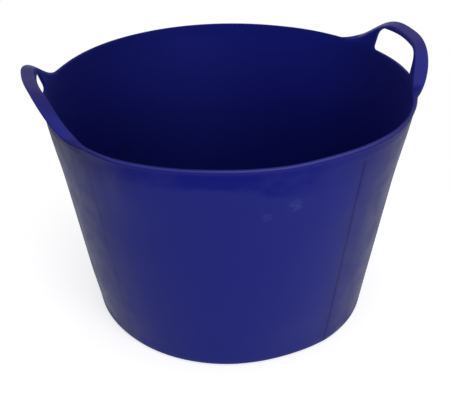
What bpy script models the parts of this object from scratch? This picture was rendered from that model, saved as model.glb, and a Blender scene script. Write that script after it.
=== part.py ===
"""A moulded flexible tub of about 38 litres, carried by two strap handles that rise from its rim.

Metres, +Z up. The origin is the middle of the foot, on the ground. The handles lie on the X axis.
The tub is one moulding. It is modelled as the zones that it is made up of: a turned wall, a rounded
foot, a floor panel, two runs of rim lip, and two handles into which the lip climbs and widens.
"""
import math

import bmesh
import bpy
from mathutils import Vector

# Body of the tub
RIM_RADIUS = 0.2256
RIM_HEIGHT = 0.2935
BASE_RADIUS = 0.1740
WALL_THICKNESS = 0.0035
LIP_WIDTH = 0.0051
LIP_THICKNESS = 0.0040
COLLAR_DEPTH = 0.0140
SEAM_GAP = 0.0003

# Foot and floor
FOOT_HEIGHT = 0.0140
FOOT_CORNER_RADIUS = 0.0065
FOOT_RING_INSIDE = 0.1590
FLOOR_RADIUS = 0.1520
FLOOR_UNDERSIDE = 0.0025
FLOOR_TOP = 0.0060
FLOOR_CORNER_RADIUS = 0.0060
FLOOR_CROWN = 0.0015

# Handles: heights are above the rim, angles are degrees either side of a handle's middle
HANDLE_INNER_RISE = 0.0388
HANDLE_OUTER_RISE = 0.0440
HANDLE_INNER_RADIUS = 0.2296
HANDLE_OUTER_RADIUS = 0.2450
INNER_ARCH_FLAT = 4.3
INNER_ARCH_END = 28.0
INNER_ARCH_FULLNESS = 1.20
OUTER_ARCH_FLAT = 2.0
OUTER_ARCH_END = 28.2
OUTER_ARCH_FULLNESS = 1.46
FLARE_FLAT = 9.0
FLARE_END = 28.6
FLARE_FULLNESS = 1.30
SHOULDER_FIRMNESS = 0.60
HANDLE_HALF_ANGLE = 36.0

# Bend from the wall to the top face, as its reach either side of the corner
LIP_BEND = 0.0010
HANDLE_BEND = 0.0045
LIP_EDGE_RADIUS = 0.0014
LIP_ROOT_RADIUS = 0.0035

# Finger opening
OPENING_SILL = 0.0010
OPENING_HALF_WIDTH_BOTTOM = 0.0540
OPENING_HALF_WIDTH_TOP = 0.0494
OPENING_BOTTOM_CORNER = 0.0045
OPENING_TOP_CORNER = 0.0155
OPENING_HEAD_DEPTH = 0.0036
OPENING_HEAD_ARCH = 0.0020
OPENING_HEAD_ARCH_RADIUS = 0.3500
CUTTER_REACH = 0.2700

# Smoothness of the faceted solids
TURN_STEPS = 96
CORNER_STEPS = 3
BEND_STEPS = 5
OPENING_CORNER_STEPS = 5
HANDLE_STEP_ANGLE = 1.5
RIM_STEP_ANGLE = 3.0
SHARP_ANGLE = math.radians(35.0)

WALL_SLOPE = (RIM_RADIUS - LIP_WIDTH + WALL_THICKNESS - BASE_RADIUS) / RIM_HEIGHT
SEAT_HEIGHT = RIM_HEIGHT - COLLAR_DEPTH


def remove_everything():
    """Empty the scene of objects."""
    for thing in list(bpy.data.objects):
        bpy.data.objects.remove(thing, do_unlink=True)


def make_collection(name):
    """Add a collection to the scene."""
    collection = bpy.data.collections.new(name)
    bpy.context.scene.collection.children.link(collection)
    return collection


def plastic(name, colour, roughness):
    """Moulded polyethylene of one colour."""
    material = bpy.data.materials.new(name)
    material.use_nodes = True
    shader = material.node_tree.nodes["Principled BSDF"]
    shader.inputs["Base Color"].default_value = (*colour, 1.0)
    shader.inputs["Roughness"].default_value = roughness
    shader.inputs["Metallic"].default_value = 0.0
    return material


def add_object(name, mesh, collection, material=None):
    """Link a mesh as a named object."""
    thing = bpy.data.objects.new(name, mesh)
    collection.objects.link(thing)
    if material is not None:
        mesh.materials.append(material)
    return thing


def shade(mesh):
    """Smooth shading that keeps the hard edges."""
    mesh.shade_smooth()
    mesh.set_sharp_from_angle(angle=SHARP_ANGLE)


def outer_radius(height):
    """Outside of the tapered wall at a height, carried on above the rim."""
    return BASE_RADIUS + WALL_SLOPE * height


def inner_radius(height):
    """Inside of the tapered wall at a height, carried on above the rim."""
    return outer_radius(height) - WALL_THICKNESS


def round_corner(before, corner, after, radius, steps=CORNER_STEPS):
    """Points of an arc that rounds a corner of an outline."""
    corner = Vector(corner)
    to_before = (Vector(before) - corner).normalized()
    to_after = (Vector(after) - corner).normalized()
    half = to_before.angle(to_after) / 2.0
    reach = radius / math.tan(half)
    centre = corner + (to_before + to_after).normalized() * (radius / math.sin(half))
    start = corner + to_before * reach - centre
    turn = start.angle_signed(corner + to_after * reach - centre)
    points = []
    for step in range(steps + 1):
        angle = -turn * step / steps
        cosine, sine = math.cos(angle), math.sin(angle)
        points.append(centre + Vector((cosine * start.x - sine * start.y,
                                       sine * start.x + cosine * start.y)))
    return points


def turned(name, profile, closed, collection, material):
    """A profile of radius and height, turned about the Z axis."""
    mesh = bpy.data.meshes.new(name)
    edges = [(index, index + 1) for index in range(len(profile) - 1)]
    if closed:
        edges.append((len(profile) - 1, 0))
    mesh.from_pydata([(radius, 0.0, height) for radius, height in profile], edges, [])
    thing = add_object(name, mesh, collection, material)
    screw = thing.modifiers.new("Turn", "SCREW")
    screw.axis = "Z"
    screw.angle = math.tau
    screw.steps = TURN_STEPS
    screw.render_steps = TURN_STEPS
    screw.use_merge_vertices = True
    screw.merge_threshold = 0.00005
    screw.use_smooth_shade = True
    return thing


def tub_wall(collection, material):
    """The tapered wall, from the foot up to the seat of the rim."""
    bottom = FOOT_HEIGHT + SEAM_GAP
    profile = [(outer_radius(SEAT_HEIGHT), SEAT_HEIGHT),
               (outer_radius(bottom), bottom),
               (inner_radius(bottom), bottom),
               (inner_radius(SEAT_HEIGHT), SEAT_HEIGHT)]
    return turned("tub_wall", profile, True, collection, material)


def foot_ring(collection, material):
    """The rounded foot with its standing ring and the ledge round the floor panel."""
    outer_top = (outer_radius(FOOT_HEIGHT), FOOT_HEIGHT)
    foot_corner = (outer_radius(0.0), 0.0)
    ring_inside = (FOOT_RING_INSIDE, 0.0)
    ledge_edge = (FLOOR_RADIUS + SEAM_GAP, FLOOR_TOP)
    floor_corner = (inner_radius(FLOOR_TOP), FLOOR_TOP)
    inner_top = (inner_radius(FOOT_HEIGHT), FOOT_HEIGHT)
    profile = [outer_top]
    profile += round_corner(outer_top, foot_corner, ring_inside, FOOT_CORNER_RADIUS)
    profile.append(ring_inside)
    profile.append((FOOT_RING_INSIDE - FLOOR_UNDERSIDE, FLOOR_UNDERSIDE))
    profile.append((FLOOR_RADIUS + SEAM_GAP, FLOOR_UNDERSIDE))
    profile.append(ledge_edge)
    profile += round_corner(ledge_edge, floor_corner, inner_top, FLOOR_CORNER_RADIUS)
    profile.append(inner_top)
    return turned("foot_ring", profile, True, collection, material)


def tub_floor(collection, material):
    """The floor panel, raised off the ground inside the foot and slightly crowned."""
    crown_radius = FLOOR_RADIUS * 0.62
    profile = [(0.0, FLOOR_TOP + FLOOR_CROWN),
               (crown_radius, FLOOR_TOP + FLOOR_CROWN * 0.6),
               (FLOOR_RADIUS, FLOOR_TOP),
               (FLOOR_RADIUS, FLOOR_UNDERSIDE),
               (crown_radius, FLOOR_UNDERSIDE + FLOOR_CROWN * 0.6),
               (0.0, FLOOR_UNDERSIDE + FLOOR_CROWN)]
    return turned("tub_floor", profile, False, collection, material)


def bell(angle, flat, end, fullness):
    """One over the middle of a handle, falling along a cosine to nothing at its end."""
    travel = min(max((abs(angle) - flat) / (end - flat), 0.0), 1.0)
    return 0.5 + 0.5 * math.cos(math.pi * travel ** fullness)


def flare(angle):
    """Outward widening of the strap, one over the middle, ending in a shoulder on the lip."""
    soft = bell(angle, FLARE_FLAT, FLARE_END, FLARE_FULLNESS)
    travel = min(max((abs(angle) - FLARE_FLAT) / (FLARE_END - FLARE_FLAT), 0.0), 1.0)
    firm = math.cos(math.pi / 2.0 * travel ** FLARE_FULLNESS)
    return soft + (firm - soft) * SHOULDER_FIRMNESS


def inner_edge(angle):
    """Radius and height of the top edge on its inner side, at an angle from a handle's middle."""
    rise = bell(angle, INNER_ARCH_FLAT, INNER_ARCH_END, INNER_ARCH_FULLNESS)
    plain = inner_radius(RIM_HEIGHT)
    radius = plain + (HANDLE_INNER_RADIUS - plain) * rise
    return Vector((radius, RIM_HEIGHT + HANDLE_INNER_RISE * rise))


def outer_edge(angle):
    """Radius and height of the top edge on its outer side, at an angle from a handle's middle."""
    rise = bell(angle, OUTER_ARCH_FLAT, OUTER_ARCH_END, OUTER_ARCH_FULLNESS)
    radius = RIM_RADIUS + (HANDLE_OUTER_RADIUS - RIM_RADIUS) * flare(angle)
    return Vector((radius, RIM_HEIGHT + HANDLE_OUTER_RISE * rise))


def strap_thickness(angle):
    """Thickness in the upright section that leaves the same thickness square to a climbing strap."""
    step = 0.25
    middle_a = (inner_edge(angle - step) + outer_edge(angle - step)) / 2.0
    middle_b = (inner_edge(angle + step) + outer_edge(angle + step)) / 2.0
    run = math.radians(2.0 * step) * middle_a.x
    slope = (middle_b.y - middle_a.y) / run
    return LIP_THICKNESS * math.sqrt(1.0 + slope * slope)


def bend_corner(before, corner, after, angle):
    """Points of the bend from the top face down to the wall, wide at a handle, tight at the lip."""
    reach = LIP_BEND + (HANDLE_BEND - LIP_BEND) * math.sqrt(flare(angle))
    reach = min(reach, (before - corner).length * 0.45)
    half = (before - corner).angle(after - corner) / 2.0
    return round_corner(before, corner, after, reach * math.tan(half), BEND_STEPS)


def edge_section(angle):
    """Outline of the top of the wall and its lip, as radius and height, at an angle."""
    bottom = SEAT_HEIGHT + SEAM_GAP
    inner_top = inner_edge(angle)
    outer_top = outer_edge(angle)
    along = (outer_top - inner_top).normalized()
    down = Vector((along.y, -along.x)) * strap_thickness(angle)
    outer_bottom = outer_top + down
    inner_foot = Vector((inner_radius(bottom), bottom))
    outer_foot = Vector((outer_radius(bottom), bottom))
    upward = (inner_top - inner_foot).normalized()
    across = outer_bottom - outer_foot
    climb = (across.x * along.y - across.y * along.x) / (upward.x * along.y - upward.y * along.x)
    root = outer_foot + upward * climb
    overhang = (outer_bottom - root).length
    root_fillet = min(LIP_ROOT_RADIUS, overhang * 0.35)
    lower_edge = min(LIP_EDGE_RADIUS, overhang * 0.45)
    points = [outer_foot]
    points += round_corner(outer_foot, root, outer_bottom, root_fillet)
    points += round_corner(root, outer_bottom, outer_top, lower_edge)
    points += round_corner(outer_bottom, outer_top, inner_top, LIP_EDGE_RADIUS)
    points += bend_corner(outer_top, inner_top, inner_foot, angle)
    points.append(inner_foot)
    return points


def lofted_edge(name, start, end, step_angle, middle, collection, material):
    """A run of the top edge, lofted through its sections between two angles about the Z axis."""
    count = round((end - start) / step_angle)
    form = bmesh.new()
    rings = []
    for column in range(count + 1):
        turn = start + (end - start) * column / count
        cosine, sine = math.cos(math.radians(turn)), math.sin(math.radians(turn))
        ring = []
        for radius, height in edge_section(turn - middle):
            ring.append(form.verts.new((radius * cosine, radius * sine, height)))
        rings.append(ring)
    size = len(rings[0])
    for ring_a, ring_b in zip(rings, rings[1:]):
        for index in range(size):
            after = (index + 1) % size
            form.faces.new((ring_a[index], ring_b[index], ring_b[after], ring_a[after]))
    form.faces.new(rings[0])
    form.faces.new(rings[-1][::-1])
    bmesh.ops.recalc_face_normals(form, faces=form.faces)
    mesh = bpy.data.meshes.new(name)
    form.to_mesh(mesh)
    form.free()
    shade(mesh)
    return add_object(name, mesh, collection, material)


def opening_outline():
    """Outline of the finger opening, with an arched head, as distance along Y and height."""
    sill = RIM_HEIGHT + OPENING_SILL
    crest = RIM_HEIGHT + HANDLE_INNER_RISE - OPENING_HEAD_DEPTH
    shoulder = crest - OPENING_HEAD_ARCH
    corners = [((-OPENING_HALF_WIDTH_BOTTOM, sill), OPENING_BOTTOM_CORNER),
               ((OPENING_HALF_WIDTH_BOTTOM, sill), OPENING_BOTTOM_CORNER),
               ((OPENING_HALF_WIDTH_TOP, shoulder), OPENING_TOP_CORNER),
               ((0.0, crest), OPENING_HEAD_ARCH_RADIUS),
               ((-OPENING_HALF_WIDTH_TOP, shoulder), OPENING_TOP_CORNER)]
    outline = []
    for index, (corner, radius) in enumerate(corners):
        before = corners[index - 1][0]
        after = corners[(index + 1) % len(corners)][0]
        outline += round_corner(before, corner, after, radius, OPENING_CORNER_STEPS)
    return outline


def opening_cutter(collection):
    """One long bar, of the outline of the finger opening, that passes through both handles."""
    outline = opening_outline()
    curve = bpy.data.curves.new("finger_opening_outline", "CURVE")
    curve.dimensions = "2D"
    curve.fill_mode = "BOTH"
    curve.extrude = CUTTER_REACH
    spline = curve.splines.new("POLY")
    spline.points.add(len(outline) - 1)
    for point, (along, height) in zip(spline.points, outline):
        point.co = (along, height, 0.0, 1.0)
    spline.use_cyclic_u = True
    bar = bpy.data.objects.new("finger_opening_bar", curve)
    collection.objects.link(bar)
    bar.rotation_euler = (math.pi / 2.0, 0.0, math.pi / 2.0)
    bpy.context.view_layer.update()
    evaluated = bar.evaluated_get(bpy.context.evaluated_depsgraph_get())
    mesh = bpy.data.meshes.new_from_object(evaluated)
    form = bmesh.new()
    form.from_mesh(mesh)
    bmesh.ops.remove_doubles(form, verts=form.verts, dist=0.00001)
    bmesh.ops.recalc_face_normals(form, faces=form.faces)
    form.to_mesh(mesh)
    form.free()
    cutter = bpy.data.objects.new("finger_opening_cutter", mesh)
    collection.objects.link(cutter)
    cutter.matrix_world = bar.matrix_world.copy()
    bpy.data.objects.remove(bar, do_unlink=True)
    cutter.hide_render = True
    cutter.display_type = "WIRE"
    return cutter


def handle(name, middle, cutter, collection, material):
    """A handle: the lip climbs over a finger opening and widens into a strap."""
    reach = HANDLE_HALF_ANGLE
    thing = lofted_edge(name, middle - reach, middle + reach, HANDLE_STEP_ANGLE, middle,
                        collection, material)
    cut = thing.modifiers.new("Finger opening", "BOOLEAN")
    cut.operation = "DIFFERENCE"
    cut.solver = "EXACT"
    cut.object = cutter
    return thing


def rim(name, middle, collection, material):
    """The plain lip between the two handles, on one side of the tub."""
    seam = math.degrees(SEAM_GAP / RIM_RADIUS)
    reach = 90.0 - HANDLE_HALF_ANGLE - seam
    toward_handle = math.copysign(90.0, middle)
    return lofted_edge(name, middle - reach, middle + reach, RIM_STEP_ANGLE,
                       middle - toward_handle, collection, material)


def build():
    """Model the whole tub."""
    remove_everything()
    tub = make_collection("flexible_tub")
    cutters = make_collection("cutters")
    outside_blue = (0.018, 0.020, 0.160)
    tub_wall(tub, plastic("wall_plastic", outside_blue, 0.38))
    foot_ring(tub, plastic("foot_plastic", outside_blue, 0.42))
    tub_floor(tub, plastic("floor_plastic", outside_blue, 0.45))
    rim("rim_front", -90.0, tub, plastic("front_rim_plastic", outside_blue, 0.34))
    rim("rim_back", 90.0, tub, plastic("back_rim_plastic", outside_blue, 0.34))
    cutter = opening_cutter(cutters)
    handle("handle_right", 0.0, cutter, tub, plastic("right_handle_plastic", outside_blue, 0.34))
    handle("handle_left", 180.0, cutter, tub, plastic("left_handle_plastic", outside_blue, 0.34))


build()
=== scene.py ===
"""The look of a flexible tub: one blue polyethylene moulding with two strap handles.

Metres, +Z up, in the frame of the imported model: the handles lie on the X axis and -Y is the front.
The real tub is one moulding, so each piece stands for one solid of the frame and meets its
neighbours without a gap.
"""
import math
from collections import namedtuple

import bmesh
import bpy
from mathutils import Matrix, Vector


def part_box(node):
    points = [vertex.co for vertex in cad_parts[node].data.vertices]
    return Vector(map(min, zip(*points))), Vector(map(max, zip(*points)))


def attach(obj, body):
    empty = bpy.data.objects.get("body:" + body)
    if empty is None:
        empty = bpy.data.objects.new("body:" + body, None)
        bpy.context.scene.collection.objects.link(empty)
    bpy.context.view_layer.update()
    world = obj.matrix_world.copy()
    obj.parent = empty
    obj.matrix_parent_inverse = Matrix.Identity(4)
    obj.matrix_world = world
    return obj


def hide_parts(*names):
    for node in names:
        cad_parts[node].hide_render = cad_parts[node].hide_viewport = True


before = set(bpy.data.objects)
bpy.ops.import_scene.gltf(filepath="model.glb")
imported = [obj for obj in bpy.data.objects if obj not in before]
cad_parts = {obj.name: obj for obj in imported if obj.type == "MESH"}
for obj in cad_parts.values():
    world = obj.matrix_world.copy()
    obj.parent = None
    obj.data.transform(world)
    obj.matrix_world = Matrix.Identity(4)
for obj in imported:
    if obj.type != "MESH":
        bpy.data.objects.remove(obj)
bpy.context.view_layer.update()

# Body of the tub, from the frame
WALL_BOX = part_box("tub_wall")
FOOT_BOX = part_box("foot_ring")
SEAT_HEIGHT = WALL_BOX[1].z
FOOT_HEIGHT = FOOT_BOX[1].z
WALL_SLOPE = (WALL_BOX[1].x - FOOT_BOX[1].x) / (SEAT_HEIGHT - FOOT_HEIGHT)
BASE_RADIUS = FOOT_BOX[1].x - WALL_SLOPE * FOOT_HEIGHT

# Body of the tub, as moulded
WALL_THICKNESS = 0.0035
RIM_HEIGHT = SEAT_HEIGHT + 0.0140
LIP_WIDTH = 0.0051
LIP_THICKNESS = 0.0040
RIM_RADIUS = BASE_RADIUS + WALL_SLOPE * RIM_HEIGHT - WALL_THICKNESS + LIP_WIDTH
ZONE_ANGLE = 36.0

# Foot and floor
FOOT_CORNER_RADIUS = 0.0065
FOOT_RING_INSIDE = 0.1590
FLOOR_RADIUS = 0.1520
FLOOR_UNDERSIDE = 0.0025
FLOOR_TOP = 0.0060
FLOOR_CORNER_RADIUS = 0.0060
FLOOR_CROWN = 0.0015

# Edges of the lip and of the finger openings. A bend is given by its reach either side of a
# corner, and an edge of the lip rounds a share of its overhang at most. Along a handle the bend is
# crisper in front and fuller at the back root, by degrees from the middle of the handle.
LIP_EDGE_RADIUS = 0.0019
LIP_EDGE_SHARE = 0.45
LIP_ROOT_RADIUS = 0.0030
LIP_ROOT_SHARE = 0.35
LIP_BEND = 0.0006
STRAP_BEND = 0.0036
CRISP_SHARE = 0.75
CRISP_CLIMB = (9.0, 15.0)
ROOT_BEND = 0.0022
ROOT_BEND_CLIMB = (14.0, 17.0)
ROOT_BEND_FALL = (19.0, 27.0)
OPENING_EDGE_RADIUS = 0.0008
OPENING_BOTTOM_CORNER = 0.0045
OPENING_HEAD_RADIUS = 0.3500
OPENING_REACH = 0.0300

# A face belongs to the cut of an opening when it faces across it and lies on its outline
CUT_FACING = 0.05
CUT_HALF_LENGTH = 0.060
CUT_TOLERANCE = 0.0001

# Handles as they stand in the photograph, each a little flexed, with unlike roots in front and
# behind. Angles are in degrees. An arch or a flare has its flat half angle, its half angle at the
# end, and the fullness of the fall between; a firm flare ends in a shoulder on the lip.
Root = namedtuple("Root", "inner_arch outer_arch flare firmness inner_bulge outer_bulge "
                          "sill_half_width head_half_width head_fall top_corner sill_rise")
Handle = namedtuple("Handle", "middle inner_rise outer_rise inner_radius outer_radius head_depth "
                              "front back")
RIGHT = Handle(
    middle=1.16, inner_rise=0.0401, outer_rise=0.0440, inner_radius=0.2297, outer_radius=0.2444,
    head_depth=0.0040,
    front=Root(inner_arch=(4.6, 27.5, 1.30), outer_arch=(1.7, 27.8, 1.40),
               flare=(8.9, 27.1, 1.47), firmness=0.68, inner_bulge=0.0035, outer_bulge=0.0018,
               sill_half_width=0.0506, head_half_width=0.0512, head_fall=0.0022,
               top_corner=0.0140, sill_rise=0.0017),
    back=Root(inner_arch=(3.7, 27.2, 1.13), outer_arch=(1.1, 28.3, 1.43),
              flare=(22.0, 29.5, 1.51), firmness=0.0, inner_bulge=0.0036, outer_bulge=0.0018,
              sill_half_width=0.0538, head_half_width=0.0502, head_fall=0.0044,
              top_corner=0.0170, sill_rise=-0.0001))
LEFT = Handle(
    middle=179.16, inner_rise=0.0374, outer_rise=0.0411, inner_radius=0.2292, outer_radius=0.2449,
    head_depth=0.0042,
    front=Root(inner_arch=(5.7, 31.5, 1.19), outer_arch=(4.1, 27.3, 1.46),
               flare=(9.0, 30.4, 1.25), firmness=0.68, inner_bulge=0.0040, outer_bulge=0.0044,
               sill_half_width=0.0579, head_half_width=0.0489, head_fall=0.0026,
               top_corner=0.0150, sill_rise=0.0010),
    back=Root(inner_arch=(4.4, 28.2, 1.13), outer_arch=(2.2, 29.4, 1.45),
              flare=(6.0, 33.8, 0.86), firmness=0.0, inner_bulge=-0.0008, outer_bulge=-0.0008,
              sill_half_width=0.0572, head_half_width=0.0465, head_fall=0.0056,
              top_corner=0.0150, sill_rise=0.0007))
HANDLES = (RIGHT, LEFT)
ROOT_BLEND = 8.0
BULGE_FLAT = 36.0
BULGE_END = 58.0
BULGE_AT_SEAT = 0.8
BULGE_FOOT = 0.1900

# Flex of the rim and of the foot out of round, in millimetres outward at angles about Z. Beyond
# SHARE_START from the middle of a handle the outer edge and the wall below follow the rim's flex;
# on the strap they do not. The foot's flex ends at FOOT_FLEX_TOP, and inside at the floor panel.
FLEX = ((-180.0, 0.0), (-168.0, 0.2), (-160.0, 0.5), (-154.0, -0.3), (-148.0, 1.4), (-140.0, 2.9),
        (-128.0, 3.3), (-120.0, 1.8), (-112.0, -0.3), (-100.0, -0.5), (-90.0, -0.5),
        (-80.0, -1.8), (-72.0, -1.2), (-64.0, 0.7), (-53.0, 2.8), (-45.0, 1.7), (-38.0, 0.1),
        (-30.0, -1.9), (-20.0, -3.2), (-12.0, -0.5), (0.0, 0.0), (12.0, 0.0), (180.0, 0.0))
FOOT_FLEX = ((-180.0, -1.6), (-165.0, -2.6), (-152.0, -2.2), (-140.0, -1.0), (-125.0, -0.1),
             (-108.0, -0.3), (-95.0, -1.7), (-82.0, -2.5), (-70.0, -1.2), (-62.0, 0.0),
             (130.0, 0.0), (165.0, -0.6), (180.0, -1.6))
FOOT_FLEX_START = 0.0100
FOOT_FLEX_TOP = 0.0700
FOOT_FLEX_WIDTH = 0.0160
SHARE_START = 34.0
SHARE_END = 44.0

# Parting lines of the mould: angle about Z and boldness
PARTING_LINES = ((-64.8, 1.00), (-152.0, 0.30), (114.5, 0.60), (28.5, 0.60))
PARTING_TOP = 0.2740
PARTING_FADE = 0.0020
PARTING_HEIGHT = 0.00008
PARTING_HALF_WIDTH = 0.0009
PARTING_COLUMNS = (-0.5, -0.3, -0.2, -0.1, 0.0, 0.1, 0.2, 0.3, 0.5)
PARTING_CLEAR = 0.7

# Lighter streaky marks on the front of the wall: angle about Z, height and reach
SMUDGES = ((-87.6, 0.2403, 0.0125), (-95.8, 0.2293, 0.0080))

# Slow waves in the moulded wall
WAVE_HEIGHT = 0.00035

# Smoothness of the meshes
TURN_STEP = 1.5
EDGE_STEP = 0.5
WALL_ROWS = 30
CORNER_STEPS = 5
BEND_STEPS = 8
OPENING_STEPS = 8
OPENING_EDGE_STEPS = 3
SHARP_ANGLE = math.radians(40.0)

# The photograph's camera
CAMERA_TURN = 16.8
CAMERA_DISTANCE = 1.1009
CAMERA_HEIGHT = 0.7596
CAMERA_TILT = 29.66
CAMERA_PAN = 0.30
CAMERA_ROLL = -0.62
CAMERA_LENS = 77.93
SENSOR_WIDTH = 36.0

# Studio: the floor is white to the camera beyond FLOOR_WHITE, and takes the tub's shadow inside it
FLOOR_HALF_WIDTH = 6.0
FLOOR_LEVEL = -0.0001
FLOOR_TONE = (0.87, 0.89)
FLOOR_GLOW = 0.60
FLOOR_WHITE = (0.24, 0.46)
SKY_LEVEL = 0.50
KEY_PLACE = (0.25, -1.60, 0.95)
KEY_AIM = (0.0, 0.0, 0.20)
KEY_SIZE = 1.1
KEY_POWER = 10.0

# Colours of the plastic, clean and under its films and marks, and of its painted highlights and
# shade
CLEAN_BLUE = (0.0020, 0.0050, 0.2000, 1.0)
DEEP_BLUE = (0.0012, 0.0030, 0.1700, 1.0)
DUSTY_BLUE = (0.0130, 0.0180, 0.2100, 1.0)
# Painted highlights of the lip and strap legs, and painted sheen of the strap tops
FRONT_LIP_HIGHLIGHT_BLUE = (0.0680, 0.0680, 0.3300, 1.0)
TOP_HIGHLIGHT_BLUE = (0.0440, 0.0440, 0.3000, 1.0)
STRAP_TOP_SHEEN = (0.0350, 0.0250, 0.2050, 1.0)
# Painted shade inside the tub
INSIDE_SHADE_BLUE = (0.0020, 0.0045, 0.0750, 1.0)
SCUFF_BLUE = (0.0450, 0.0520, 0.2500, 1.0)
SMUDGE_BLUE = (0.0700, 0.0750, 0.2900, 1.0)
# Dark dirt and painted shade of the parting lines
LINE_BLUE = (0.0003, 0.0008, 0.1350, 1.0)
# Painted shade on the sides of the tub
SIDE_SHADE_BLUE = (0.0030, 0.0020, 0.0700, 1.0)
WHITE = (1.0, 1.0, 1.0, 1.0)

# Where the finishes, painted highlights and painted shade of the plastic lie. A fade is from and
# to, in metres, in radians about Z or as a share of a direction, and then its values there where
# these are not nothing and one.
OUTSIDE_FACING = (-0.1, 0.3)
STRAP_FACING = (-0.75, -0.45)
STRAP_FOOT = (RIM_HEIGHT + 0.0030, RIM_HEIGHT + 0.0090)
STRAP_TOP = (RIM_HEIGHT + 0.0310, RIM_HEIGHT + 0.0380)
LEG_FOOT = (RIM_HEIGHT + 0.0005, RIM_HEIGHT + 0.0060)
# Where the painted highlights lie on the up-facing lip and strap legs
LIP_UPWARD = (0.25, 0.80)
LEFT_LEG_UPWARD = (0.38, 1.30)
RIGHT_LEG_UPWARD = (0.00, 1.45)
LEFT_TO_RIGHT = (-0.05, 0.05)
BACK_ROOTS = (0.050, 0.075, 1.0, 0.5)
FRONT_LIP_LEVEL = (RIM_HEIGHT + 0.0050, RIM_HEIGHT + 0.0005)
FRONT_LIP_REACH = (-0.13, -0.04)
# Painted shade under the lip: a band that the dust leaves bare, darker than the wall
BAND_DROP = (math.radians(-104.0), math.radians(-90.0), 0.004, 0.020)
BAND_EDGE = (0.2685, 0.2775)
BAND_WANDER = 0.0160
BAND_UPRIGHT = (0.40, 0.05)
BAND_END = (math.radians(-76.0), math.radians(-84.0), 0.15, 1.0)
BAND_BELOW_LIP = (RIM_HEIGHT - 0.0040, RIM_HEIGHT - 0.0080, 0.15, 1.0)
# Painted shade inside the tub, towards the left and low down
INSIDE_SHADE_LEFT = (0.03, -0.12, 0.0, 0.42)
INSIDE_SHADE_LOW = (0.25, 0.14, 0.0, 0.28)
FOOT_WEAR = (0.030, 0.004)
LINE_EDGE = (0.0036, 0.0019)
# Painted shade on the sides across SIDE_AXIS, and under the lip there
SIDE_AXIS = (0.957, -0.289)
SIDES = (0.50, 1.0, 0.0, 0.72)
SIDES_INSIDE = (0.60, 1.0, 0.0, 0.50)
UNDER_LIP_LEVEL = (0.235, 0.280)
UNDER_LIP_SIDES = (0.35, 0.70)
UNDER_LIP_SHARE = (-0.10, 0.10, 0.36, 0.10)
SIDE_SHADE_OUTSIDE_TOP = (RIM_HEIGHT + 0.0060, RIM_HEIGHT + 0.0010)
SIDE_SHADE_INSIDE_TOP = (RIM_HEIGHT + 0.0030, RIM_HEIGHT - 0.0040)
SIDE_SHADE_CLEAR_OF_FLOOR = (0.152, 0.166)

# How much of a mark shows
DRIFT_SHARE = 0.35
DUST_INSIDE = 0.45
WEAR_SHARE = 0.30
SCRATCH_SHARE = 0.50
SMUDGE_SHARE = 0.45

# Shine and grain of the plastic. A bump is its depth in metres and its strength, a grain has the
# scale of its noise before these.
WALL_ROUGHNESS = 0.42
LIP_ROUGHNESS = 0.52
ROUGHNESS_SPREAD = (-0.04, 0.06)
WEAR_ROUGHNESS = 0.16
INSIDE_ROUGHNESS = 0.20
WALL_FILM = 1.0
LIP_FILM = 0.9
SPECULAR_LEVEL = 0.11
GRAINS = ((1500.0, 0.00004, 0.35), (150.0, 0.00012, 0.25))
WEAR_BUMP = (0.00010, 0.5)


def outer_radius(height):
    """Outside of the tapered wall at a height, carried on above the rim."""
    return BASE_RADIUS + WALL_SLOPE * height


def inner_radius(height):
    """Inside of the tapered wall at a height, carried on above the rim."""
    return outer_radius(height) - WALL_THICKNESS


def apart(turn, middle):
    """Signed angle from a middle to a turn, between -180 and 180 degrees."""
    return (turn - middle + 180.0) % 360.0 - 180.0


def bell(angle, flat, end, fullness):
    """One over the middle of a handle, falling along a cosine to nothing at its end."""
    travel = min(max((abs(angle) - flat) / (end - flat), 0.0), 1.0)
    return 0.5 + 0.5 * math.cos(math.pi * travel ** fullness)


def ease(low, high, value):
    """Smooth climb from nothing at low to one at high."""
    travel = min(max((value - low) / (high - low), 0.0), 1.0)
    return travel * travel * (3.0 - 2.0 * travel)


def front_share(grip, turn):
    """One at the front root of a handle, nothing at its back root, and a blend at its middle."""
    ahead = -apart(turn, grip.middle) * math.copysign(1.0, math.cos(math.radians(grip.middle)))
    return ease(-ROOT_BLEND, ROOT_BLEND, ahead)


def root_at(grip, turn):
    """The root of a handle that an angle about Z belongs to."""
    return grip.front if front_share(grip, turn) > 0.5 else grip.back


def flared(angle, root):
    """Outward widening of a strap, one over its middle, soft or firm where it ends on the lip."""
    flat, end, fullness = root.flare
    travel = min(max((abs(angle) - flat) / (end - flat), 0.0), 1.0)
    soft = bell(angle, flat, end, fullness)
    firm = math.cos(math.pi / 2.0 * travel ** fullness)
    return max(soft + (firm - soft) * root.firmness, 0.0)


def bulge(turn):
    """How far the flexed rim stands out of round at an angle, at its inner and its outer edge."""
    inner = outer = 0.0
    for grip in HANDLES:
        share = front_share(grip, turn)
        fall = bell(apart(turn, grip.middle), BULGE_FLAT, BULGE_END, 1.0)
        front, back = grip.front, grip.back
        inner += fall * (back.inner_bulge + (front.inner_bulge - back.inner_bulge) * share)
        outer += fall * (back.outer_bulge + (front.outer_bulge - back.outer_bulge) * share)
    return inner, outer


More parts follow.
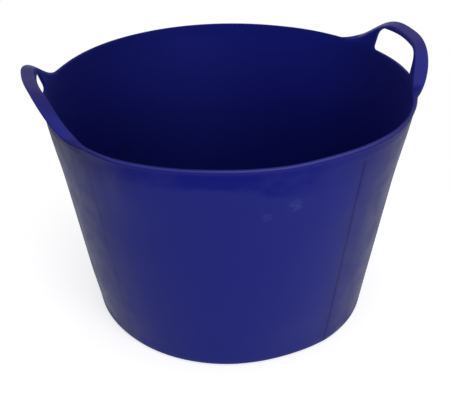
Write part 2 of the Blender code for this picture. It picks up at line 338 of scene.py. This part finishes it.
def flex(turn, table=FLEX):
    """Smooth curve through a table of flex at an angle, in metres."""
    turn = (turn + 180.0) % 360.0 - 180.0
    after = next(index for index, knot in enumerate(table) if knot[0] >= turn)
    after = max(after, 1)
    knots = [table[max(after - 2, 0)], table[after - 1], table[after],
             table[min(after + 1, len(table) - 1)]]
    gap = knots[2][0] - knots[1][0]
    start = (knots[2][1] - knots[0][1]) / (knots[2][0] - knots[0][0]) * gap
    end = (knots[3][1] - knots[1][1]) / (knots[3][0] - knots[1][0]) * gap
    t = (turn - knots[1][0]) / gap
    value = ((2.0 * t ** 3 - 3.0 * t ** 2 + 1.0) * knots[1][1]
             + (t ** 3 - 2.0 * t ** 2 + t) * start
             + (3.0 * t ** 2 - 2.0 * t ** 3) * knots[2][1]
             + (t ** 3 - t ** 2) * end)
    return value / 1000.0


def shared_flex(turn):
    """The part of the flex that the outer edge and the wall below follow, clear of the straps."""
    nearest = min(abs(apart(turn, grip.middle)) for grip in HANDLES)
    return flex(turn) * ease(SHARE_START, SHARE_END, nearest)


def wall_bulge(turn, height):
    """How far the wall below the rim follows the rim out of round."""
    follow = bulge(turn)[0] + shared_flex(turn)
    return follow * BULGE_AT_SEAT * ease(BULGE_FOOT, SEAT_HEIGHT, height)


def top_edge(turn):
    """Inner and outer corners of the top edge, as radius and height, at an angle about Z."""
    inner_bulge, outer_bulge = bulge(turn)
    inner_rest = inner_radius(RIM_HEIGHT) + inner_bulge + flex(turn)
    outer_rest = RIM_RADIUS + outer_bulge + shared_flex(turn)
    inner = Vector((inner_rest, RIM_HEIGHT))
    outer = Vector((outer_rest, RIM_HEIGHT))
    for grip in HANDLES:
        angle = apart(turn, grip.middle)
        root = root_at(grip, turn)
        arch = bell(angle, *root.inner_arch)
        inner.x += (grip.inner_radius + flex(turn) - inner_rest) * arch
        inner.y += grip.inner_rise * arch
        outer.x += (grip.outer_radius - outer_rest) * flared(angle, root)
        outer.y += grip.outer_rise * bell(angle, *root.outer_arch)
    return inner, outer


def bend_reach(turn):
    """Reach of the rounded bend from the wall to the top face, wide at the roots of a handle."""
    reach = LIP_BEND
    for grip in HANDLES:
        angle = apart(turn, grip.middle)
        ahead = front_share(grip, turn)
        crisp = 1.0 - CRISP_SHARE * ahead * ease(*CRISP_CLIMB, abs(angle))
        reach += (STRAP_BEND - LIP_BEND) * math.sqrt(flared(angle, root_at(grip, turn))) * crisp
        reach += ((1.0 - ahead) * ROOT_BEND * ease(*ROOT_BEND_CLIMB, abs(angle))
                  * (1.0 - ease(*ROOT_BEND_FALL, abs(angle))))
    return reach


def strap_thickness(turn):
    """Thickness in the upright section that leaves it the same square to a climbing strap."""
    step = 0.25
    before = sum(top_edge(turn - step), Vector((0.0, 0.0))) / 2.0
    after = sum(top_edge(turn + step), Vector((0.0, 0.0))) / 2.0
    slope = (after.y - before.y) / (math.radians(2.0 * step) * before.x)
    return LIP_THICKNESS * math.sqrt(1.0 + slope * slope)


def round_corner(before, corner, after, radius, steps=CORNER_STEPS):
    """Points of an arc that rounds a corner of an outline."""
    corner = Vector(corner)
    to_before = (Vector(before) - corner).normalized()
    to_after = (Vector(after) - corner).normalized()
    half = to_before.angle(to_after) / 2.0
    reach = radius / math.tan(half)
    centre = corner + (to_before + to_after).normalized() * (radius / math.sin(half))
    start = corner + to_before * reach - centre
    turn = start.angle_signed(corner + to_after * reach - centre)
    points = []
    for step in range(steps + 1):
        angle = -turn * step / steps
        cosine, sine = math.cos(angle), math.sin(angle)
        points.append(centre + Vector((cosine * start.x - sine * start.y,
                                       sine * start.x + cosine * start.y)))
    return points


def wave(turn, height):
    """Slow unevenness of a thin moulded wall, as a shift of its radius."""
    theta, rise = math.radians(turn), height / RIM_HEIGHT
    swing = (0.5 * math.sin(2.0 * theta + 0.6) + 0.3 * math.sin(3.0 * theta + 2.1 + 3.0 * rise)
             + 0.2 * math.sin(5.0 * theta - 1.3 + 5.0 * rise))
    return WAVE_HEIGHT * swing * ease(0.0, 0.6, rise) * (1.0 - ease(0.8, 1.0, rise))


def parting_bead(turn, radius, height):
    """Height of the fine bead that the joints of the mould leave on the outside of the wall."""
    raised = 0.0
    for line, boldness in PARTING_LINES:
        aside = math.radians(apart(turn, line)) * radius
        raised += boldness * math.exp(-(aside / PARTING_HALF_WIDTH) ** 2)
    return PARTING_HEIGHT * raised * (1.0 - ease(PARTING_TOP - PARTING_FADE, PARTING_TOP, height))


def round_turns():
    """Angles of the columns round the tub, closer together at the parting lines."""
    turns = [step * TURN_STEP for step in range(round(360.0 / TURN_STEP))]
    for line, _ in PARTING_LINES:
        turns = [turn for turn in turns if abs(apart(turn, line)) > PARTING_CLEAR]
        turns += [(line + aside) % 360.0 for aside in PARTING_COLUMNS]
    return sorted(turn % 360.0 for turn in turns)


def place(turn, point, outside):
    """A point of radius and height, set at an angle about Z, with the bead where it is outside."""
    radius, height = point
    radius += wave(turn, height)
    radius += (flex(turn, FOOT_FLEX) * ease(FLOOR_RADIUS, FLOOR_RADIUS + FOOT_FLEX_WIDTH, radius)
               * (1.0 - ease(FOOT_FLEX_START, FOOT_FLEX_TOP, height)))
    if outside:
        radius += parting_bead(turn, radius, height)
    theta = math.radians(turn)
    return (radius * math.cos(theta), radius * math.sin(theta), height)


def finish_piece(name, form, material, node):
    """Turn a bmesh into a piece that stands for a node of the frame."""
    bmesh.ops.recalc_face_normals(form, faces=form.faces)
    mesh = bpy.data.meshes.new(name)
    form.to_mesh(mesh)
    form.free()
    mesh.shade_smooth()
    mesh.set_sharp_from_angle(angle=SHARP_ANGLE)
    mesh.materials.append(material)
    piece = bpy.data.objects.new(name, mesh)
    bpy.context.scene.collection.objects.link(piece)
    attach(piece, "root")
    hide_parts(node)
    return piece


def loft(form, rings, closed):
    """Skin rings of vertices, either right round or with an end cap at each end."""
    size = len(rings[0])
    pairs = list(zip(rings, rings[1:]))
    if closed:
        pairs.append((rings[-1], rings[0]))
    for ring_a, ring_b in pairs:
        for index in range(size):
            after = (index + 1) % size
            form.faces.new((ring_a[index], ring_b[index], ring_b[after], ring_a[after]))
    if not closed:
        form.faces.new(rings[0])
        form.faces.new(rings[-1][::-1])


def wall_piece(material):
    """The tapered wall, with the parting lines down its outside."""
    heights = [FOOT_HEIGHT + (SEAT_HEIGHT - FOOT_HEIGHT) * row / WALL_ROWS
               for row in range(WALL_ROWS + 1)]
    heights = sorted(heights + [PARTING_TOP - PARTING_FADE * share for share in (1.0, 0.5, 0.0)])
    form = bmesh.new()
    rings = []
    for turn in round_turns():
        outside = [(outer_radius(height) + wall_bulge(turn, height), height)
                   for height in reversed(heights)]
        inside = [(inner_radius(height) + wall_bulge(turn, height), height)
                  for height in heights]
        ring = [form.verts.new(place(turn, point, True)) for point in outside]
        ring += [form.verts.new(place(turn, point, False)) for point in inside]
        rings.append(ring)
    loft(form, rings, True)
    return finish_piece("wall_moulding", form, material, "tub_wall")


def foot_piece(material):
    """The rounded foot, its standing ring and the ledge round the floor."""
    outer_top = (outer_radius(FOOT_HEIGHT), FOOT_HEIGHT)
    foot_corner = (outer_radius(0.0), 0.0)
    ring_inside = (FOOT_RING_INSIDE, 0.0)
    ledge_edge = (FLOOR_RADIUS, FLOOR_TOP)
    floor_corner = (inner_radius(FLOOR_TOP), FLOOR_TOP)
    inner_top = (inner_radius(FOOT_HEIGHT), FOOT_HEIGHT)
    outside = [outer_top] + round_corner(outer_top, foot_corner, ring_inside, FOOT_CORNER_RADIUS)
    inside = [ring_inside, (FOOT_RING_INSIDE - FLOOR_UNDERSIDE, FLOOR_UNDERSIDE),
              (FLOOR_RADIUS, FLOOR_UNDERSIDE), ledge_edge]
    inside += round_corner(ledge_edge, floor_corner, inner_top, FLOOR_CORNER_RADIUS)
    inside.append(inner_top)
    form = bmesh.new()
    rings = []
    for turn in round_turns():
        ring = [form.verts.new(place(turn, point, True)) for point in outside]
        ring += [form.verts.new(place(turn, point, False)) for point in inside]
        rings.append(ring)
    loft(form, rings, True)
    return finish_piece("foot_moulding", form, material, "foot_ring")


def floor_piece(material):
    """The crowned floor panel."""
    top = [(FLOOR_RADIUS * share, FLOOR_TOP + FLOOR_CROWN * (1.0 - share * share))
           for share in (0.1, 0.3, 0.5, 0.7, 0.85, 1.0)]
    rise = FLOOR_TOP - FLOOR_UNDERSIDE
    outline = top + [(radius, height - rise) for radius, height in reversed(top)]
    form = bmesh.new()
    rings = []
    for turn in round_turns():
        rings.append([form.verts.new(place(turn, point, False)) for point in outline])
    middle_top = form.verts.new((0.0, 0.0, FLOOR_TOP + FLOOR_CROWN))
    middle_bottom = form.verts.new((0.0, 0.0, FLOOR_UNDERSIDE + FLOOR_CROWN))
    for ring_a, ring_b in zip(rings, rings[1:] + rings[:1]):
        for index in range(len(outline) - 1):
            form.faces.new((ring_a[index], ring_b[index], ring_b[index + 1], ring_a[index + 1]))
        form.faces.new((middle_top, ring_b[0], ring_a[0]))
        form.faces.new((middle_bottom, ring_a[-1], ring_b[-1]))
    return finish_piece("floor_moulding", form, material, "tub_floor")


def edge_section(turn):
    """Outline of the top of the wall and its lip, as radius and height, at an angle."""
    inner_top, outer_top = top_edge(turn)
    along = (outer_top - inner_top).normalized()
    outer_bottom = outer_top + Vector((along.y, -along.x)) * strap_thickness(turn)
    lean = wall_bulge(turn, SEAT_HEIGHT)
    inner_foot = Vector((inner_radius(SEAT_HEIGHT) + lean, SEAT_HEIGHT))
    outer_foot = Vector((outer_radius(SEAT_HEIGHT) + lean, SEAT_HEIGHT))
    upward = (inner_top - inner_foot).normalized()
    across = outer_bottom - outer_foot
    climb = (across.x * along.y - across.y * along.x) / (upward.x * along.y - upward.y * along.x)
    root = outer_foot + upward * climb
    overhang = (outer_bottom - root).length
    points = [outer_foot]
    root_radius = min(LIP_ROOT_RADIUS, overhang * LIP_ROOT_SHARE)
    edge_radius = min(LIP_EDGE_RADIUS, overhang * LIP_EDGE_SHARE)
    points += round_corner(outer_foot, root, outer_bottom, root_radius)
    points += round_corner(root, outer_bottom, outer_top, edge_radius)
    points += round_corner(outer_bottom, outer_top, inner_top, LIP_EDGE_RADIUS)
    reach = min(bend_reach(turn), (outer_top - inner_top).length * 0.5)
    half = (outer_top - inner_top).angle(inner_foot - inner_top) / 2.0
    points += round_corner(outer_top, inner_top, inner_foot, reach * math.tan(half), BEND_STEPS)
    points.append(inner_foot)
    return points


def edge_form(start, end):
    """The top edge between two angles about Z, as a closed bmesh."""
    count = round((end - start) / EDGE_STEP)
    form = bmesh.new()
    rings = []
    for column in range(count + 1):
        turn = start + (end - start) * column / count
        rings.append([form.verts.new(place(turn, point, False)) for point in edge_section(turn)])
    loft(form, rings, False)
    return form


def rim_piece(name, middle, node, material):
    """The plain lip between the two handles, on one side of the tub."""
    reach = 90.0 - ZONE_ANGLE
    form = edge_form(middle - reach, middle + reach)
    return finish_piece(name, form, material, node)


def opening_outline(grip):
    """Outline of a finger opening, as distance along the handle and height."""
    crest = RIM_HEIGHT + grip.inner_rise - grip.head_depth
    first, last = grip.front, grip.back
    if math.cos(math.radians(grip.middle)) < 0.0:
        first, last = last, first
    corners = [((-first.sill_half_width, RIM_HEIGHT + first.sill_rise), OPENING_BOTTOM_CORNER),
               ((last.sill_half_width, RIM_HEIGHT + last.sill_rise), OPENING_BOTTOM_CORNER),
               ((last.head_half_width, crest - last.head_fall), last.top_corner),
               ((0.0, crest), OPENING_HEAD_RADIUS),
               ((-first.head_half_width, crest - first.head_fall), first.top_corner)]
    outline = []
    for index, (corner, radius) in enumerate(corners):
        before = corners[index - 1][0]
        after = corners[(index + 1) % len(corners)][0]
        outline += round_corner(before, corner, after, radius, OPENING_STEPS)
    return outline


def opening_bar(grip):
    """A bar of the outline of the finger opening, square to the middle of the handle."""
    outline = opening_outline(grip)
    near = inner_radius(RIM_HEIGHT) - OPENING_REACH
    far = grip.outer_radius + OPENING_REACH
    form = bmesh.new()
    turn = Matrix.Rotation(math.radians(grip.middle), 4, "Z")
    rings = [[form.verts.new(turn @ Vector((radius, along, height))) for along, height in outline]
             for radius in (near, far)]
    loft(form, rings, False)
    bmesh.ops.recalc_face_normals(form, faces=form.faces)
    mesh = bpy.data.meshes.new("opening_bar")
    form.to_mesh(mesh)
    form.free()
    bar = bpy.data.objects.new("opening_bar", mesh)
    bpy.context.scene.collection.objects.link(bar)
    return bar


def gap_to_outline(point, outline):
    """Distance from a point to a closed outline."""
    nearest = math.inf
    for index, start in enumerate(outline):
        side = start - outline[index - 1]
        share = (point - outline[index - 1]).dot(side) / side.dot(side)
        foot = outline[index - 1] + side * min(max(share, 0.0), 1.0)
        nearest = min(nearest, (point - foot).length)
    return nearest


def weigh_opening_edges(mesh, grip):
    """Mark the edges that the finger opening has cut, so that only these are rounded."""
    outline = [Vector(point) for point in opening_outline(grip)]
    back_turn = Matrix.Rotation(math.radians(-grip.middle), 4, "Z")
    form = bmesh.new()
    form.from_mesh(mesh)
    weights = form.edges.layers.float.new("bevel_weight_edge")
    cut_faces = set()
    for face in form.faces:
        middle = back_turn @ face.calc_center_median()
        if abs((back_turn @ face.normal).x) > CUT_FACING or abs(middle.y) > CUT_HALF_LENGTH:
            continue
        if gap_to_outline(Vector((middle.y, middle.z)), outline) < CUT_TOLERANCE:
            cut_faces.add(face)
    for edge in form.edges:
        if sum(face in cut_faces for face in edge.link_faces) == 1:
            edge[weights] = 1.0
    form.to_mesh(mesh)
    form.free()


def applied(thing):
    """The mesh of an object with its modifiers, which are then removed."""
    evaluated = thing.evaluated_get(bpy.context.evaluated_depsgraph_get())
    mesh = bpy.data.meshes.new_from_object(evaluated)
    thing.modifiers.clear()
    return mesh


def handle_piece(name, grip, zone_middle, node, material):
    """A handle: the lip climbs over a finger opening and widens into a strap."""
    form = edge_form(zone_middle - ZONE_ANGLE, zone_middle + ZONE_ANGLE)
    piece = finish_piece(name, form, material, node)
    bar = opening_bar(grip)
    cut = piece.modifiers.new("Finger opening", "BOOLEAN")
    cut.operation = "DIFFERENCE"
    cut.solver = "EXACT"
    cut.object = bar
    bpy.context.view_layer.update()
    mesh = applied(piece)
    bpy.data.objects.remove(bar, do_unlink=True)
    weigh_opening_edges(mesh, grip)
    piece.data = mesh
    edge = piece.modifiers.new("Rounded opening", "BEVEL")
    edge.limit_method = "WEIGHT"
    edge.width = OPENING_EDGE_RADIUS
    edge.segments = OPENING_EDGE_STEPS
    edge.use_clamp_overlap = True
    bpy.context.view_layer.update()
    mesh = applied(piece)
    mesh.shade_smooth()
    mesh.set_sharp_from_angle(angle=SHARP_ANGLE)
    piece.data = mesh
    return piece


class Nodes:
    """Short calls for the nodes of one material."""

    def __init__(self, name):
        self.material = bpy.data.materials.new(name)
        self.material.use_nodes = True
        self.tree = self.material.node_tree
        self.shader = self.tree.nodes["Principled BSDF"]
        self.output = self.tree.nodes["Material Output"]

    def add(self, kind, inputs=None, **settings):
        """Add a node, set its properties and its inputs, and link those that are sockets."""
        node = self.tree.nodes.new(kind)
        for key, value in settings.items():
            setattr(node, key, value)
        for key, value in (inputs or {}).items():
            self.feed(node.inputs[key], value)
        return node

    def feed(self, socket, value):
        """Link a socket to an input, or set its value."""
        if isinstance(value, bpy.types.NodeSocket):
            self.tree.links.new(value, socket)
        else:
            socket.default_value = value

    def math(self, operation, first, second=0.0, clamp=False):
        """A Math node's result."""
        node = self.add("ShaderNodeMath", {0: first, 1: second}, operation=operation,
                        use_clamp=clamp)
        return node.outputs[0]

    def fade(self, value, low, high, start=0.0, end=1.0):
        """A smooth Map Range from low and high to start and end."""
        node = self.add("ShaderNodeMapRange", {"Value": value, "From Min": low, "From Max": high,
                                               "To Min": start, "To Max": end},
                        interpolation_type="SMOOTHSTEP")
        return node.outputs["Result"]

    def noise(self, vector, scale, detail=3.0, roughness=0.5, distortion=0.0):
        """A noise texture's value."""
        node = self.add("ShaderNodeTexNoise", {"Vector": vector, "Scale": scale, "Detail": detail,
                                               "Roughness": roughness, "Distortion": distortion})
        return node.outputs["Fac"]

    def stretched(self, vector, scale, turn=(0.0, 0.0, 0.0)):
        """Coordinates that are scaled and turned."""
        node = self.add("ShaderNodeMapping", {"Vector": vector, "Scale": scale, "Rotation": turn})
        return node.outputs["Vector"]

    def mix(self, factor, first, second):
        """A colour mix."""
        node = self.add("ShaderNodeMix", data_type="RGBA")
        self.feed(node.inputs[0], factor)
        self.feed(node.inputs[6], first)
        self.feed(node.inputs[7], second)
        return node.outputs[2]

    def bump(self, height, distance, strength=1.0, normal=None):
        """A bump of a real height in metres."""
        inputs = {"Height": height, "Distance": distance, "Strength": strength}
        if normal is not None:
            inputs["Normal"] = normal
        return self.add("ShaderNodeBump", inputs).outputs["Normal"]


class TubPlastic(Nodes):
    """Moulded polyethylene: satin grain, slow colour drift, a film of dust outside, scuffs and the
    marks of the mould, with painted highlights and sheen on its tops and painted shade inside, on
    its sides and under the lip. The film is how much of the dust shows on the outside."""

    def __init__(self, name, roughness, film):
        super().__init__(name)
        self.find_places()
        self.drift = self.noise(self.here, 7.0, 2.0)
        self.mottle = self.noise(self.here, 46.0, 4.0, 0.6)
        self.colour = self.mix(self.fade(self.drift, 0.35, 0.65, 0.0, DRIFT_SHARE),
                               CLEAN_BLUE, DEEP_BLUE)
        self.lay_dust_and_lip_shade(film)
        self.paint_top_highlights()
        self.paint_inside_shade()
        wear = self.wear_outside()
        self.draw_parting_lines()
        self.paint_side_shade()
        self.feed(self.shader.inputs["Base Color"], self.colour)
        self.feed(self.shader.inputs["Roughness"], self.satin(roughness, wear))
        self.feed(self.shader.inputs["Normal"], self.grain(wear))
        self.shader.inputs["Specular IOR Level"].default_value = SPECULAR_LEVEL

    def rest_of(self, share):
        """What a share leaves of one."""
        return self.math("SUBTRACT", 1.0, share)

    def times(self, *shares):
        """The product of two shares or more."""
        product = shares[0]
        for share in shares[1:]:
            product = self.math("MULTIPLY", product, share)
        return product

    def cover(self, share, colour):
        """Lay a colour over what is there."""
        self.colour = self.mix(share, self.colour, colour)

    def find_places(self):
        """Coordinates round the tub, and how its faces lie."""
        self.here = self.add("ShaderNodeTexCoord").outputs["Object"]
        self.x, self.y, self.z = self.add("ShaderNodeSeparateXYZ", {"Vector": self.here}).outputs
        self.turn = self.math("ARCTAN2", self.y, self.x)
        self.radius = self.math("SQRT", self.math("ADD", self.times(self.x, self.x),
                                                  self.times(self.y, self.y)))
        geometry = self.add("ShaderNodeNewGeometry").outputs["Normal"]
        facing = self.add("ShaderNodeSeparateXYZ", {"Vector": geometry}).outputs
        outward = self.math("DIVIDE", self.math("ADD", self.times(facing[0], self.x),
                                                self.times(facing[1], self.y)), self.radius)
        self.facing_up = facing[2]
        self.outside = self.fade(outward, *OUTSIDE_FACING)
        strap_face = self.times(self.fade(outward, *STRAP_FACING), self.fade(self.z, *STRAP_FOOT))
        self.exposed = self.math("MAXIMUM", self.outside, strap_face)

        ends = [self.fade(self.z, *LEG_FOOT, lip, self.fade(self.x, *LEFT_TO_RIGHT, left, right))
                for lip, left, right in zip(LIP_UPWARD, LEFT_LEG_UPWARD, RIGHT_LEG_UPWARD)]
        self.upward = self.times(self.fade(self.facing_up, *ends), self.fade(self.y, *BACK_ROOTS))

    def lay_dust_and_lip_shade(self, film):
        """Dust, thinner inside, and painted shade: a bare band of wandering edge under the lip."""
        wander = self.math("MULTIPLY", self.math("SUBTRACT", self.mottle, 0.5), BAND_WANDER)
        level = self.math("ADD", self.z, self.fade(self.turn, *BAND_DROP))
        level = self.math("ADD", level, wander)
        patches = self.noise(self.stretched(self.here, (1.0, 1.0, 1.6)), 26.0, 3.0, 0.55)
        # Painted shade: the band under the lip that the dust leaves bare
        lip_shade_band = self.times(self.fade(level, *BAND_EDGE),
                                self.fade(self.facing_up, *BAND_UPRIGHT),
                                self.fade(self.turn, *BAND_END),
                                self.fade(patches, 0.34, 0.58, 0.45, 1.0),
                                self.fade(self.z, *BAND_BELOW_LIP))
        dust = self.times(self.fade(self.outside, 0.0, 1.0, DUST_INSIDE, 1.0),
                          self.rest_of(lip_shade_band),
                          self.fade(self.mottle, 0.2, 0.8, 0.8 * film, film))
        self.cover(dust, DUSTY_BLUE)

    def paint_top_highlights(self):
        """Painted highlights on the lip and strap legs, and painted violet sheen on strap tops."""
        front_lip = self.times(self.fade(self.z, *FRONT_LIP_LEVEL),
                               self.fade(self.x, *FRONT_LIP_REACH))
        self.cover(self.times(self.upward, self.exposed),
                   self.mix(front_lip, TOP_HIGHLIGHT_BLUE, FRONT_LIP_HIGHLIGHT_BLUE))
        # Painted violet sheen on the tops of the straps
        self.cover(self.times(self.upward, self.fade(self.z, *STRAP_TOP)), STRAP_TOP_SHEEN)

    def paint_inside_shade(self):
        """Painted shade inside the tub, deeper on the left and low down."""
        inside_shade = self.math("ADD", self.fade(self.x, *INSIDE_SHADE_LEFT),
                            self.fade(self.z, *INSIDE_SHADE_LOW))
        self.cover(self.times(inside_shade, self.rest_of(self.outside),
                              self.fade(self.mottle, 0.2, 0.8, 0.85, 1.1)), INSIDE_SHADE_BLUE)

    def wear_outside(self):
        """Scuffs, scratches, a worn foot and streaky smudges. Gives the share of the wear."""
        rub = self.noise(self.stretched(self.here, (1.0, 1.0, 0.55)), 21.0, 6.0, 0.68, 0.6)
        scuffs = self.times(self.fade(rub, 0.62, 0.78), self.fade(self.mottle, 0.40, 0.62))
        lines = self.stretched(self.here, (3.0, 3.0, 160.0), (0.12, 0.20, 0.0))
        scratches = self.times(self.fade(self.noise(lines, 3.0, 3.0, 0.6), 0.66, 0.72),
                               self.fade(self.drift, 0.48, 0.62), SCRATCH_SHARE)
        foot_wear = self.times(self.fade(self.z, *FOOT_WEAR), self.fade(rub, 0.40, 0.70))
        wear = self.math("MAXIMUM", scuffs, self.math("MAXIMUM", scratches, foot_wear))
        wear = self.times(wear, self.outside)
        self.cover(self.times(wear, WEAR_SHARE), SCUFF_BLUE)

        slanted = self.stretched(self.here, (0.6, 0.6, 2.4), (0.0, 0.35, 0.0))
        streaks = self.fade(self.noise(slanted, 260.0, 4.0, 0.72, 0.5), 0.40, 0.58)
        smudges = 0.0
        for angle, height, reach in SMUDGES:
            theta, radius = math.radians(angle), outer_radius(height)
            spot = (radius * math.cos(theta), radius * math.sin(theta), height)
            away = self.add("ShaderNodeVectorMath", {0: self.here, 1: spot}, operation="DISTANCE")
            smudge = self.times(self.fade(away.outputs["Value"], reach, 0.2 * reach), streaks)
            smudges = self.math("MAXIMUM", smudges, smudge)
        self.cover(self.times(smudges, self.outside, SMUDGE_SHARE), SMUDGE_BLUE)
        return wear

    def draw_parting_lines(self):
        """Dark lines of dirt and painted shade down the outside where the mould parts."""
        lines = 0.0
        for angle, boldness in PARTING_LINES:
            swing = self.math("SUBTRACT", self.turn, math.radians(angle))
            swing = self.math("WRAP", swing, math.pi)
            swing.node.inputs[2].default_value = -math.pi
            away = self.math("ABSOLUTE", self.times(swing, self.radius))
            lines = self.math("MAXIMUM", lines, self.fade(away, *LINE_EDGE, 0.0, boldness))
        below_top = self.fade(self.z, PARTING_TOP, PARTING_TOP - PARTING_FADE)
        self.cover(self.times(lines, self.outside, below_top), LINE_BLUE)

    def paint_side_shade(self):
        """Painted shade on both sides of the tub, more outside than inside, and under the lip."""
        sideways = self.math("ADD", self.times(self.x, SIDE_AXIS[0]),
                             self.times(self.y, SIDE_AXIS[1]))
        aside = self.math("ABSOLUTE", self.math("DIVIDE", sideways, self.radius))
        under_lip = self.times(self.fade(self.z, *UNDER_LIP_LEVEL),
                               self.fade(aside, *UNDER_LIP_SIDES),
                               self.fade(self.x, *UNDER_LIP_SHARE))
        outer = self.math("ADD", self.fade(aside, *SIDES), under_lip, clamp=True)
        outer = self.times(outer, self.outside, self.fade(self.z, *SIDE_SHADE_OUTSIDE_TOP))
        inner = self.times(self.fade(aside, *SIDES_INSIDE), self.fade(self.outside, 0.5, 0.0),
                           self.fade(self.z, *SIDE_SHADE_INSIDE_TOP))
        self.cover(self.times(self.math("MAXIMUM", outer, inner),
                              self.fade(self.radius, *SIDE_SHADE_CLEAR_OF_FLOOR)), SIDE_SHADE_BLUE)

    def satin(self, roughness, wear):
        """Roughness that varies a little and is higher where the tub is worn, and inside it."""
        spread = [roughness + change for change in ROUGHNESS_SPREAD]
        satin = self.math("ADD", self.fade(self.mottle, 0.25, 0.75, *spread),
                          self.times(wear, WEAR_ROUGHNESS))
        return self.math("ADD", satin, self.times(self.rest_of(self.exposed), INSIDE_ROUGHNESS))

    def grain(self, wear):
        """Fine and coarse grain, lower where it is worn."""
        normal = None
        for scale, depth, strength in GRAINS:
            normal = self.bump(self.noise(self.here, scale, 2.0), depth, strength, normal)
        return self.bump(self.times(wear, -1.0), *WEAR_BUMP, normal)


def stage_floor():
    """A pale floor that takes the tub's shadow and stays white to the camera."""
    n = Nodes("floor_paper")
    here = n.add("ShaderNodeTexCoord").outputs["Object"]
    tone = n.fade(n.noise(here, 3.0, 3.0), 0.3, 0.7, *FLOOR_TONE)
    colour = n.add("ShaderNodeCombineColor", {0: tone, 1: tone, 2: tone}).outputs[0]
    n.feed(n.shader.inputs["Base Color"], colour)
    n.shader.inputs["Roughness"].default_value = 0.9
    n.shader.inputs["Specular IOR Level"].default_value = 0.0
    rays = n.add("ShaderNodeLightPath").outputs
    seen = n.math("MAXIMUM", rays["Is Camera Ray"],
                  n.math("MAXIMUM", rays["Is Glossy Ray"], rays["Is Transmission Ray"]))
    glow = n.add("ShaderNodeEmission", {"Color": WHITE,
                                        "Strength": n.math("MULTIPLY", seen, FLOOR_GLOW)})
    lit = n.add("ShaderNodeAddShader")
    n.feed(lit.inputs[0], n.shader.outputs[0])
    n.feed(lit.inputs[1], glow.outputs[0])
    white = n.add("ShaderNodeEmission", {"Color": WHITE, "Strength": 1.0})
    split = n.add("ShaderNodeSeparateXYZ", {"Vector": here})
    far = n.math("SQRT", n.math("ADD", n.math("MULTIPLY", split.outputs[0], split.outputs[0]),
                                n.math("MULTIPLY", split.outputs[1], split.outputs[1])))
    away = n.math("MULTIPLY", n.fade(far, *FLOOR_WHITE), seen)
    blend = n.add("ShaderNodeMixShader", {0: away})
    n.feed(blend.inputs[1], lit.outputs[0])
    n.feed(blend.inputs[2], white.outputs[0])
    n.feed(n.output.inputs["Surface"], blend.outputs[0])

    mesh = bpy.data.meshes.new("floor")
    half, level = FLOOR_HALF_WIDTH, FLOOR_LEVEL
    mesh.from_pydata([(-half, -half, level), (half, -half, level), (half, half, level),
                      (-half, half, level)], [], [(0, 1, 2, 3)])
    mesh.materials.append(n.material)
    ground = bpy.data.objects.new("floor", mesh)
    bpy.context.scene.collection.objects.link(ground)


def studio_world():
    """Even soft light from all round, white wherever it is seen directly or mirrored."""
    world = bpy.data.worlds.new("studio")
    bpy.context.scene.world = world
    world.use_nodes = True
    tree = world.node_tree
    background = tree.nodes["Background"]
    rays = tree.nodes.new("ShaderNodeLightPath")
    seen = tree.nodes.new("ShaderNodeMath")
    seen.operation = "MAXIMUM"
    tree.links.new(rays.outputs["Is Camera Ray"], seen.inputs[0])
    tree.links.new(rays.outputs["Is Glossy Ray"], seen.inputs[1])
    both = tree.nodes.new("ShaderNodeMath")
    both.operation = "MAXIMUM"
    tree.links.new(seen.outputs[0], both.inputs[0])
    tree.links.new(rays.outputs["Is Transmission Ray"], both.inputs[1])
    level = tree.nodes.new("ShaderNodeMapRange")
    level.inputs["To Min"].default_value = SKY_LEVEL
    level.inputs["To Max"].default_value = 1.0
    tree.links.new(both.outputs[0], level.inputs["Value"])
    tree.links.new(level.outputs["Result"], background.inputs["Strength"])
    background.inputs["Color"].default_value = WHITE


def softbox(name, place_at, aim_at, size, power):
    """A square area light, aimed at a point."""
    lamp = bpy.data.lights.new(name, "AREA")
    lamp.shape = "SQUARE"
    lamp.size = size
    lamp.energy = power
    box = bpy.data.objects.new(name, lamp)
    box.location = place_at
    aim = Vector(aim_at) - Vector(place_at)
    box.rotation_euler = aim.to_track_quat("-Z", "Y").to_euler()
    bpy.context.scene.collection.objects.link(box)


def photo_camera():
    """The camera of the photograph."""
    data = bpy.data.cameras.new("camera")
    data.lens = CAMERA_LENS
    data.sensor_width = SENSOR_WIDTH
    camera = bpy.data.objects.new("camera", data)
    bpy.context.scene.collection.objects.link(camera)
    stand = Matrix.Rotation(math.radians(-CAMERA_TURN), 4, "Z")
    spot = Matrix.Translation((0.0, -CAMERA_DISTANCE, CAMERA_HEIGHT))
    pan = Matrix.Rotation(math.radians(CAMERA_PAN), 4, "Z")
    tilt = Matrix.Rotation(math.radians(90.0 - CAMERA_TILT), 4, "X")
    roll = Matrix.Rotation(math.radians(CAMERA_ROLL), 4, "Z")
    camera.matrix_world = stand @ spot @ pan @ tilt @ roll
    bpy.context.scene.camera = camera


def dress():
    """Make all the pieces of the tub."""
    wall_plastic = TubPlastic("wall_plastic", WALL_ROUGHNESS, WALL_FILM).material
    lip_plastic = TubPlastic("lip_plastic", LIP_ROUGHNESS, LIP_FILM).material
    wall_piece(wall_plastic)
    foot_piece(wall_plastic)
    floor_piece(wall_plastic)
    rim_piece("front_lip", -90.0, "rim_front", lip_plastic)
    rim_piece("back_lip", 90.0, "rim_back", lip_plastic)
    handle_piece("right_strap", RIGHT, 0.0, "handle_right", lip_plastic)
    handle_piece("left_strap", LEFT, 180.0, "handle_left", lip_plastic)


photo_camera()
dress()
stage_floor()
studio_world()
softbox("key", KEY_PLACE, KEY_AIM, KEY_SIZE, KEY_POWER)
bpy.context.scene.view_settings.view_transform = "Standard"
